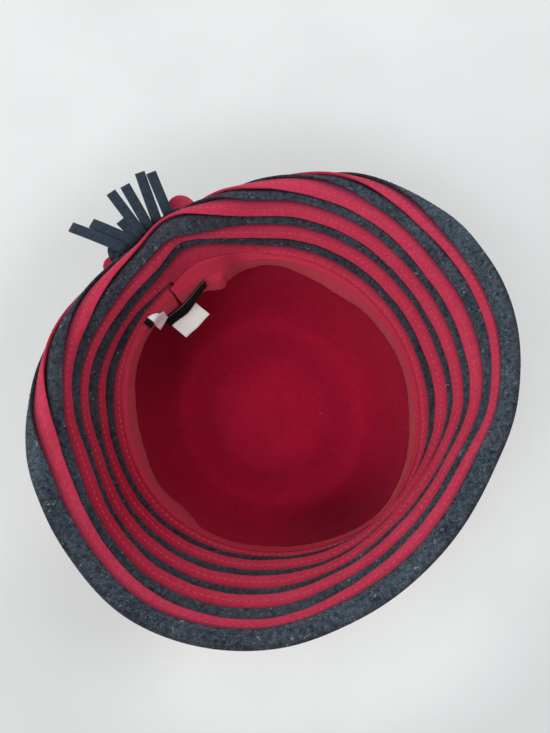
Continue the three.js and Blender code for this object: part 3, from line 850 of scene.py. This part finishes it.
def grown_mesh(name, base, tree, values):
    """The plain mesh that a geometry tree makes on a base mesh, as a piece of the hat."""
    carrier = bpy.data.objects.new(name + "_base", base)
    bpy.context.scene.collection.objects.link(carrier)
    modifier = carrier.modifiers.new("grow", "NODES")
    modifier.node_group = tree
    names = {item.name: item.identifier for item in tree.interface.items_tree if item.in_out == "INPUT"}
    for label, value in values.items():
        modifier[names[label]] = value
    seen = carrier.evaluated_get(bpy.context.evaluated_depsgraph_get())
    mesh = bpy.data.meshes.new_from_object(seen)
    mesh.name = name
    bpy.data.objects.remove(carrier)
    return add_piece(name, mesh)


STITCHES = stitch_tree()
print("stitch tree has", len(STITCHES.nodes), "nodes")

# %% Sew the strips
STITCH_RISE = 0.1


def path_mesh(name, points):
    """A mesh of edges along some points in millimetres."""
    mesh = bpy.data.meshes.new(name)
    edges = [(i, i + 1) for i in range(len(points) - 1)]
    mesh.from_pydata((np.asarray(points) * MM).tolist(), edges, [])
    return mesh


def stitch_path(kind, from_turn, first_edge, end_azimuth, stitch_line, stitch_depth, seed):
    """The line along a strip where its stitches lie, half sunk in their groove, from one of its turns on."""
    angle = strip_angles(end_azimuth)
    angle = angle[angle >= 360 * from_turn]
    azimuth, slant, middle = strip_place(kind, first_edge, angle, stitch_line, seed)
    rise = puff(stitch_line, STRIP_WIDTH) - stitch_depth + STITCH_RISE
    return brim_point(azimuth, slant, middle + STRIP_FELT / 2 + rise)


PALE_WOOL = thread("pale_wool", srgb(116, 128, 134), srgb(88, 98, 106))
SEAM_ROWS = [
    # name, strip, from turn, slot, thread, pitch, length, thickness, unevenness, seed
    ["red_strip_stitches", "red", 0, "red_felt", RED_THREAD, 0.0036, 0.0023, 0.00046, 0.06, 4],
    ["charcoal_strip_stitches", "charcoal", 0, "charcoal_felt", GREY_THREAD, 0.0034, 0.0023, 0.0004, 0.15, 9],
    ["rim_fuzz", "charcoal", TURNS - 1, "charcoal_felt", PALE_WOOL, 0.0012, 0.0022, 0.00022, 0.7, 10],
]
for name, strip, from_turn, slot, sewing, pitch, length, thickness, uneven, seed in SEAM_ROWS:
    values = {
        "Pitch": pitch, "Length": length, "Thickness": thickness, "Unevenness": uneven,
        "Seed": seed, "Thread": sewing,
    }
    line = path_mesh(name + "_line", stitch_path(strip, from_turn, *STRIPS[strip]))
    seam = grown_mesh(name, line, STITCHES, values)
    print(name, len(seam.data.polygons), "faces")

# %% [markdown]
# ## The sweatband
# A strip of cloth is sewn in along the seam and hangs down inside, where it touches the wearer's forehead.
# Its free edge waves in and out, it has a pleat at the back, and its two ends meet in a seam that has opened
# at the bottom. A table gives the lean of each stretch, the pleat is a smooth step, and a slight bulge rounds
# the band where it turns down over the seam. Shade is painted into the cloth along some stretches, chosen as
# listed: most on one side, and as a painted shadow beside the pleat.

# %% Build the sweatband
SWEATBAND = {"cloth": 1.0, "drop": 22.0, "gap": 0.45, "joint": 87.0, "joint_gap": 0.5, "joint_open": 1.3}
SWEATBAND_ROWS = [
    # azimuth, inward lean in degrees, lap over the first strip
    [0, -3, 2],
    [15, 3, 2],
    [30, -3, 2],
    [45, -10, 2],
    [55, -5, 4],
    [67, 7.5, 8],
    [76, 4.5, 8],
    [87, 1, 5],
    [105, -8, 2.5],
    [135, -1, 2],
    [155, 1, 2],
    [172, -3, 2],
    [187, 0.5, 2],
    [200, -13, 2],
    [213, -12.5, 2],
    [224, -8, 2],
    [236, -12.5, 2],
    [255, -12, 2],
    [275, -9.5, 2],
    [308, -4, 2],
    [325, -7, 2],
]
PLEAT = {"azimuth": 64.0, "width": 2.0, "depth": 2.6, "fade": 9.0}
PLEAT_DOWN = 10
BULGE = {"depth": 0.8, "reach": 3.0}
RIPPLE = {"size": 0.25, "seed": 51, "waves": ((17, 0.5), (41, 0.4), (90, 0.3)), "down": 12}
EDGE_DROP = {"size": 0.6, "seed": 52, "waves": ((5, 0.6), (19, 0.5)), "from": 12, "down": 10}
BAND_EDGE_LEFT = 0.4
BAND_SHADES = [
    # azimuth, reach in degrees, how much painted shade darkens the cloth there
    [215, 75, 0.6],
    [335, 45, 0.2],
    [60, 4, 0.4],
]


def band_point(azimuth, down, inward, bridge=0.1):
    """Points of the sweatband, so far down from the first strip's edge and inwards of its middle.

    The band's two ends are at different depths at its joint. A ribbon bridges that step in some degrees.
    """
    azimuth, down, inward = np.broadcast_arrays(np.asarray(azimuth, float), down, inward)
    lean, lap = np.moveaxis(table_at(SWEATBAND_ROWS, azimuth), -1, 0)
    past_joint = azimuth - SWEATBAND["joint"]
    angle = azimuth - STRIPS_BEGIN + np.where(past_joint < 0, 360, 0)
    bridged = (1 - smooth(past_joint / bridge)) * (past_joint >= 0)
    stepped = np.minimum(np.maximum(PITCH * pitches_out(angle), lap * bridged), lap)
    seat = (STRIP_FELT + SWEATBAND["cloth"]) / 2 + SWEATBAND["gap"]
    slant = FIRST_EDGE - np.minimum(down, 0)
    offset = LAP_SLOPE * (FIRST_EDGE + stepped + STRIP_WIDTH / 2 - slant) + seat
    lapped = brim_point(azimuth, slant, offset + np.where(down <= 0, inward, 0))
    lean = np.radians(lean)
    hang = np.maximum(down, 0)
    fold = (azimuth - PLEAT["azimuth"]) % 360
    pleat = smooth(fold / PLEAT["width"]) * smooth(1 - (fold - PLEAT["width"]) / PLEAT["fade"])
    pleat = PLEAT["depth"] * pleat * smooth(hang / PLEAT_DOWN) * np.where(fold < 180, 1, 0)
    bulge = (1 - np.exp(-hang / BULGE["reach"])) * np.clip(1 - hang / SWEATBAND["drop"], 0, 1)
    push = inward + pleat + BULGE["depth"] * bulge
    radius = np.hypot(lapped[..., 0], lapped[..., 1]) - hang * np.sin(lean) - push * np.cos(lean)
    hung = polar(azimuth, radius, lapped[..., 2] - hang * np.cos(lean) + push * np.sin(lean))
    return np.where((down > 0)[..., None], hung, lapped)


def sweatband_sections(parts=420):
    cloth_half = SWEATBAND["cloth"] / 2
    lap_shares = np.array([1, 0.97, 0.8, 0.5, 0.2, 0])
    hang = np.append(np.linspace(1, SWEATBAND["drop"] - 0.4, 16), SWEATBAND["drop"])
    opening = np.append(0 * lap_shares, smooth(hang / SWEATBAND["drop"]))
    opening = (SWEATBAND["joint_gap"] + SWEATBAND["joint_open"] * opening) / 2
    share = np.linspace(0, 1, parts)[:, None]
    azimuth = SWEATBAND["joint"] + opening + share * (360 - 2 * opening)
    lap = table_at(SWEATBAND_ROWS, azimuth[:, :1])[..., 1]
    down = np.concatenate([-lap * lap_shares, hang + 0 * lap], axis=1)
    at_edge = np.isin(np.arange(down.shape[1]), [0, down.shape[1] - 1])
    rounded = cloth_half * np.where(at_edge, BAND_EDGE_LEFT, 1.0)
    ripple = RIPPLE["size"] * wobble(azimuth, RIPPLE["seed"], RIPPLE["waves"])
    ripple = ripple * smooth(down / RIPPLE["down"])
    drop_wave = EDGE_DROP["size"] * wobble(azimuth, EDGE_DROP["seed"], EDGE_DROP["waves"])
    drop_wave = drop_wave * smooth((down - EDGE_DROP["from"]) / EDGE_DROP["down"])
    inner = band_point(azimuth, down + drop_wave, rounded + ripple)
    outer = band_point(azimuth, down + drop_wave, ripple - rounded)
    sections = np.concatenate([inner, outer[:, ::-1]], axis=1)
    return sections, np.zeros(sections.shape[:2]) + darker_by(BAND_SHADES, azimuth[:, :1])


band_loft, band_hollow = sweatband_sections()
sweatband = skin("sweatband_strip", [band_loft], SWEATBAND_CLOTH, "sweatband_cloth", hollow=band_hollow)
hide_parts("sweatband")
print("sweatband:", len(sweatband.data.polygons), "faces")

# %% [markdown]
# ## The label and the tag
# A black ribbon and a white care tag hang at the back, by the sweatband's free edge. Both are bare here. Each
# is a thin ribbon whose profile is given past the free edge and inwards of the sweatband, and it follows the
# sweatband round. A third number moves a point aside, in degrees. A curve through the profile's points keeps
# the ribbon supple. The fold is the tag's other end, and the small black end belongs to the label.

# %% Build the ribbons
FOLD_PROFILES = [
    [[-1.4, 1.8, 0], [-6, 1.1, 0], [-10, 1.1, 0], [-14, 1.2, 0], [-17.5, 1.3, 0]],
    [[-0.2, 3.2, 0], [-6, 1.3, 0], [-18, 1.8, 0], [-21.5, 2.3, 0], [-23.5, 2.2, 0]],
    [[2, 4, 0], [-6, 1.4, 0], [-20, 2.4, 0], [-22.5, 3.1, 0], [-26, 2.5, 0]],
]
END_PROFILE = [[-15, 1.2, 0], [-22, 1.3, 0], [-25, 1.3, 0]]
LABEL_PROFILES = [
    [[-20, 1.2, 0], [-15.5, 1.2, 0], [-11, 1.5, 0]],
    [[-6.5, 1.4, 0], [-2.4, 2.6, 0], [1.6, 4.8, 0]],
    [[1, 1.6, 0], [2.8, 3, 0], [5, 6.5, 0]],
]
TAG_PROFILES = [
    [[-3.4, 1.5, 0], [-1.6, 1.8, 0], [6, 5, -1], [8.8, 12, -2.8]],
    [[4.2, 4.05, 0], [5.4, 5.8, 0], [7, 8, 0], [9.2, 18, 0]],
]
RIBBON_BRIDGE = 9.0
RIBBONS = [
    # name, material, slot, thickness, from azimuth, to azimuth, profiles between of past, inward and aside
    ["label", LABEL_RIBBON, "label_ribbon", 0.7, 73.5, 97, LABEL_PROFILES],
    ["care_tag", TAG_TAPE, "tag_cloth", 0.6, 81.5, 96, TAG_PROFILES],
    ["care_fold", TAG_TAPE, "tag_cloth", 0.6, 94.6, 100.8, FOLD_PROFILES],
    ["label_end", LABEL_RIBBON, "label_ribbon", 0.7, 101.2, 103.6, [END_PROFILE, END_PROFILE]],
]


def ribbon_sections(thickness, from_azimuth, to_azimuth, profiles, parts=40):
    sections = []
    between = smooth_profile(np.reshape(profiles, (len(profiles), -1)), parts)
    for azimuth, profile in zip(np.linspace(from_azimuth, to_azimuth, parts), between):
        places = smooth_profile(profile.reshape(-1, 3), 16)
        along = np.gradient(places[:, :2], axis=0)
        along /= np.linalg.norm(along, axis=1, keepdims=True)
        square = np.stack([-along[:, 1], along[:, 0], 0 * along[:, 0]], axis=1) * thickness / 2
        face = np.concatenate([places + square, (places - square)[::-1]])
        down = SWEATBAND["drop"] + face[:, 0]
        sections.append(band_point(azimuth + face[:, 2], down, face[:, 1], RIBBON_BRIDGE))
    return np.array(sections)


ribbons = {}
for name, material, slot, *sizes in RIBBONS:
    ribbons[name] = skin(name + "_ribbon", [ribbon_sections(*sizes)], material, slot)
    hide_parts(name)
    print(ribbons[name].name, len(ribbons[name].data.polygons), "faces")

# %% [markdown]
# ## The fringe and the petals
# The ornament sits on the turned-up back: a piece of charcoal felt cut into straight strips, which stand out
# and spread, over three round petals. Cut felt keeps square ends and straight edges, so each strip is a flat
# bar with a bend near its root and a slight curl, and only its long corners are softened.

# %% Build the fringe
FRINGE = {"felt": 1.5, "strip": 6.0, "head_top": 49, "head_bottom": 56, "bend": 3.0, "curl": 0.8}
HEAD_SPAN = (70.5, 92.5)
KNEE = {"up": 0.7, "out": 0.4}
FRINGE_ROWS = [
    # azimuth at the head, azimuth at the tip, tip radius, tip height
    [89.4, 94.2, 151.5, 119.5],
    [86, 90.5, 143.5, 121],
    [84.3, 85, 134, 119.5],
    [82.4, 82.7, 150.5, 121.5],
    [79.7, 79.3, 149, 122],
    [77, 75, 152, 121],
    [73.7, 72.8, 148, 122.5],
]
COVER = LAP_SLOPE * STRIP_WIDTH / 2 + STRIP_FELT / 2 + LAP_GAP
BAR_ACROSS = np.array([-1, -0.985, -0.93, -0.5, 0, 0.5, 0.93, 0.985, 1])
BAR_HALF = np.array([0.55, 0.85, 1, 1, 1, 1, 1, 0.85, 0.55])


def unit(vector):
    return vector / np.linalg.norm(vector)


def fringe_bar(azimuth, tip_azimuth, tip_radius, tip_height):
    """Sections of one cut strip, from inside the head, over its bend and out to its tip."""
    top = brim_point(azimuth, FRINGE["head_top"] + FRINGE["felt"] / 2, COVER + FRINGE["felt"] / 2)
    root = brim_point(azimuth, (FRINGE["head_top"] + FRINGE["head_bottom"]) / 2, COVER + FRINGE["felt"] / 2)
    tip = polar(tip_azimuth, tip_radius, tip_height)
    away = unit(tip - top)
    up = np.array([0.0, 0.0, 1.0])
    side = unit(np.cross(up, away))
    turned = top + (away + up) * FRINGE["bend"]
    stations = [root, top, top + up * FRINGE["bend"] * KNEE["up"] + away * KNEE["out"], turned]
    for share in np.linspace(0, 1, 9)[1:]:
        stations.append(turned + (tip - turned) * share + up * FRINGE["curl"] * math.sin(math.pi * share))
    stations = np.array(stations)
    along = np.gradient(stations, axis=0)
    sections = []
    for station, forward in zip(stations, along):
        normal = unit(np.cross(forward, side))
        thick = BAR_HALF[:, None] * FRINGE["felt"] / 2 * normal
        flat = station + BAR_ACROSS[:, None] * FRINGE["strip"] / 2 * side
        sections.append(np.concatenate([flat + thick, (flat - thick)[::-1]]))
    return np.array(sections)


def fringe_head(parts=30):
    azimuth = np.linspace(*HEAD_SPAN, parts)[:, None]
    slant = np.linspace(FRINGE["head_top"], FRINGE["head_bottom"], 8)
    bottom = brim_point(azimuth, slant, COVER)
    top = brim_point(azimuth, slant, COVER + FRINGE["felt"])
    return np.concatenate([bottom, top[:, ::-1]], axis=1)


fringe_lofts = [fringe_head(), *(fringe_bar(*row) for row in FRINGE_ROWS)]
fringe = skin("fringe_strips", fringe_lofts, FRINGE_FELT, "charcoal_felt")
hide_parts("fringe")
print("fringe:", len(FRINGE_ROWS), "strips,", len(fringe.data.polygons), "faces")

# %% Build the petals
PETAL_FELT = 1.5
PETAL_SEAT = 2.5
PETAL_EDGE_LEFT = 0.6
PETAL_ROWS = [
    # name, material, slot, azimuth, half width in degrees, slant on the brim, reach, rise
    ["red_petal", RED_FELT, "red_felt", 70.3, 4.6, 58.5, 13, 2.5],
    ["charcoal_petal", CHARCOAL_FELT, "charcoal_felt", 90, 4.4, 58.5, 14, 2.5],
    ["red_petal_left", RED_FELT, "red_felt", 94.2, 3.6, 62.5, 9.5, 2],
]


def petal_sections(azimuth, half_width, slant, reach, rise, parts=36):
    share = np.linspace(-1, 1, parts)[:, None]
    here = azimuth + half_width * share
    root = brim_point(here, slant, PETAL_SEAT)
    length = 1 + (reach - 1) * np.sqrt(1 - share ** 2)
    along = np.linspace(0, 1, 12)
    radius = np.hypot(root[..., 0], root[..., 1]) + along * length
    height = root[..., 2] + rise * (along * length / reach) ** 2
    half = PETAL_FELT / 2 * np.where(along > 0.99, PETAL_EDGE_LEFT, 1.0)
    bottom = polar(here, radius, height - half)
    top = polar(here, radius, height + half)
    return np.concatenate([bottom, top[:, ::-1]], axis=1)


for name, material, slot, *sizes in PETAL_ROWS:
    petal = skin(name + "_felt", [petal_sections(*sizes)], material, slot)
    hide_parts(name)
    print(petal.name, len(petal.data.polygons), "faces")

# %% [markdown]
# ## Loose fibres and lint
# Felt sheds: short loose hairs lie on the brim, and pale lint clings to the charcoal and here and there to
# the crown. Painted specks would have no thickness, so a second geometry tree scatters thin curved hairs over
# a copy of a piece. Each hair lies almost flat, turned any way, and the seed is fixed so that every run is
# the same.

# %% Fibre tree
FIBRE_TILT = 0.25
FIBRE_SIZES = (0.5, 1.4)


def fibre_tree():
    tree, given, result = new_tree("fibres", ["Density", "Length", "Thickness"], "Wool")
    points = grow(
        tree, "GeometryNodeDistributePointsOnFaces",
        Mesh=given["Geometry"], Density=given["Density"], Seed=given["Seed"],
    )
    bow = grow(
        tree, "GeometryNodeCurveQuadraticBezier",
        Resolution=4, Start=(-0.5, 0, 0), Middle=(0, 0.35, 0.12), End=(0.5, 0, 0),
    )
    scaled = grow(tree, "ShaderNodeCombineXYZ", **{axis: given["Length"] for axis in "XYZ"})
    hair = grow(tree, "GeometryNodeTransform", Geometry=bow.outputs[0], Scale=scaled.outputs[0])
    half = grow(tree, "ShaderNodeMath", {"operation": "MULTIPLY"}, _0=given["Thickness"], _1=0.5)
    ring = grow(tree, "GeometryNodeCurvePrimitiveCircle", Resolution=3, Radius=half.outputs[0])
    tube = grow(tree, "GeometryNodeCurveToMesh", Curve=hair.outputs[0], Profile_Curve=ring.outputs[0])
    lying = grow(tree, "FunctionNodeAlignRotationToVector", {"axis": "Z"}, Vector=points.outputs["Normal"])
    spin = grow(
        tree, "FunctionNodeRandomValue", {"data_type": "FLOAT_VECTOR"},
        _0=(-FIBRE_TILT, -FIBRE_TILT, 0.0), _1=(FIBRE_TILT, FIBRE_TILT, math.tau),
        Seed=given["Seed"],
    )
    turned = grow(
        tree, "FunctionNodeRotateRotation", {"rotation_space": "LOCAL"},
        Rotation=lying.outputs[0], Rotate_By=spin.outputs[0],
    )
    size = grow(
        tree, "FunctionNodeRandomValue", {"data_type": "FLOAT"},
        _2=FIBRE_SIZES[0], _3=FIBRE_SIZES[1], Seed=given["Seed"],
    )
    placed = grow(
        tree, "GeometryNodeInstanceOnPoints", Points=points.outputs[0], Instance=tube.outputs[0],
        Rotation=turned.outputs[0], Scale=size.outputs[1],
    )
    finish_tree(tree, result, placed.outputs[0], given["Wool"])
    return tree


FIBRES = fibre_tree()
PALE_LINT = thread("pale_lint", srgb(206, 208, 206), srgb(170, 174, 174))
GREY_WOOL = thread("grey_wool", srgb(92, 104, 112), srgb(62, 72, 82))
RED_WOOL = thread("red_wool", srgb(214, 66, 92), srgb(170, 34, 60))
FIBRE_ROWS = [
    # name, on which piece, wool, slot, hairs in each square metre, length, thickness, seed
    ["charcoal_hairs", charcoal_strip, GREY_WOOL, "charcoal_felt", 26000, 0.0020, 0.00006, 5],
    ["red_hairs", red_strip, RED_WOOL, "red_felt", 30000, 0.0020, 0.00007, 6],
    ["pale_lint_hairs", charcoal_strip, PALE_LINT, "charcoal_felt", 800, 0.0015, 0.0002, 8],
    ["crown_lint_hairs", crown, PALE_LINT, "crown_felt", 90, 0.0012, 0.0003, 3],
]
for name, carrier, wool, slot, density, length, thickness, seed in FIBRE_ROWS:
    values = {"Density": density, "Length": length, "Thickness": thickness, "Seed": seed, "Wool": wool}
    hairs_piece = grown_mesh(name, carrier.data.copy(), FIBRES, values)
    print(name, len(hairs_piece.data.polygons), "faces")

# %% [markdown]
# ## Floor and light
# The hat lies on a pale surface in even daylight. A soft sky all round gives most of the light. A large
# window light from the hat's left models the ridges and leaves that side of the crown in shade, and a weak
# low one from the back right reaches only the brim. Light and shade are also painted into the surface's
# colour: painted shade near the hat's back and painted light near its front, a painted shadow spot by its
# left side, and farther out a painted gradient that is lighter towards the right and the back.

# %% Floor, sky and window
FLOOR_HALF = 3.0
FLOOR_DROP = 0.0003
FAR_SPAN = (-0.3, 0.25)
NEAR_SPAN = (-0.2, 0.2)
RIM_SPAN = (0.2, 0.28)
SHADOW_SPOT = {"left": 0.19, "span": (0.01, 0.1)}
SKY = (0.93, 0.97, 1.0, 1.0)
SKY_STRENGTH = 0.6
LIT_MIDDLE = Vector((0, 0, 0.1))
WINDOW_ROWS = [
    # name, place, size, watts
    ["high_window", (-0.85, 0.31, 1.6), 2.0, 18.5],
    ["low_window", (1.28, 0.74, 0.72), 1.2, 4.5],
]

floor_mesh = bpy.data.meshes.new("floor")
floor_signs = ((-1, -1), (1, -1), (1, 1), (-1, 1))
floor_corners = [(x * FLOOR_HALF, y * FLOOR_HALF, -FLOOR_DROP) for x, y in floor_signs]
floor_mesh.from_pydata(floor_corners, [], [(0, 1, 2, 3)])
floor = bpy.data.objects.new("floor", floor_mesh)
bpy.context.scene.collection.objects.link(floor)
floor_paint, floor_shader, floor_place = new_material("pale_floor", Roughness=0.55)
floor_x = floor_place.out("ShaderNodeSeparateXYZ", 0, Vector=floor_place)
floor_y = floor_place.out("ShaderNodeSeparateXYZ", 1, Vector=floor_place)
away_from_hat = floor_place.maths("SQRT", floor_x * floor_x + floor_y * floor_y)
floor_lean = floor_x + floor_y * 0.5
# Painted light and shade: near the hat the floor is painted darker behind it and lighter in front, with a
# painted shadow spot by its left side, and farther out a painted gradient.
far_painted_light = floor_lean.between(*FAR_SPAN).mix(srgb(221, 223, 221), srgb(238, 240, 238))
near_painted_light = floor_y.between(*NEAR_SPAN).mix(srgb(246, 247, 245), srgb(220, 221, 219))
by_the_rim = away_from_hat.between(*RIM_SPAN).mix(near_painted_light, far_painted_light)
shadow_spot_x = floor_x + SHADOW_SPOT["left"]
shadow_spot = floor_place.maths("SQRT", shadow_spot_x * shadow_spot_x + floor_y * floor_y)
floor_painted_light = shadow_spot.between(*SHADOW_SPOT["span"]).mix(srgb(215, 216, 214), by_the_rim)
floor_stain = noise(floor_place, 9, detail=4.0).between(0.35, 0.75) * 0.12
floor_colour = floor_stain.mix(floor_painted_light, srgb(190, 192, 190))
paint(floor_shader, Base_Color=floor_colour)
floor_mesh.materials.append(floor_paint)

sky = bpy.data.worlds.new("sky")
sky.use_nodes = True
sky.node_tree.nodes["Background"].inputs["Color"].default_value = SKY
sky.node_tree.nodes["Background"].inputs["Strength"].default_value = SKY_STRENGTH
bpy.context.scene.world = sky

for name, place, size, watts in WINDOW_ROWS:
    light = bpy.data.lights.new(name, "AREA")
    light.shape = "SQUARE"
    light.size = size
    light.energy = watts
    window = bpy.data.objects.new(name, light)
    bpy.context.scene.collection.objects.link(window)
    window.location = place
    window.rotation_euler = (LIT_MIDDLE - window.location).to_track_quat("-Z", "Y").to_euler()
    print(name, "of", watts, "watts")
bpy.context.scene.view_settings.view_transform = "Standard"

# %% [markdown]
# ## Cloth
# The sweatband, the tag and the label are sheets of cloth, and the area of each, on one side, is printed.

for sheet in (sweatband, ribbons["care_tag"], ribbons["label"], ribbons["care_fold"]):
    print(sheet.name, round(sum(face.area for face in sheet.data.polygons) / 2 * 1e6, 1), "mm2 a side")
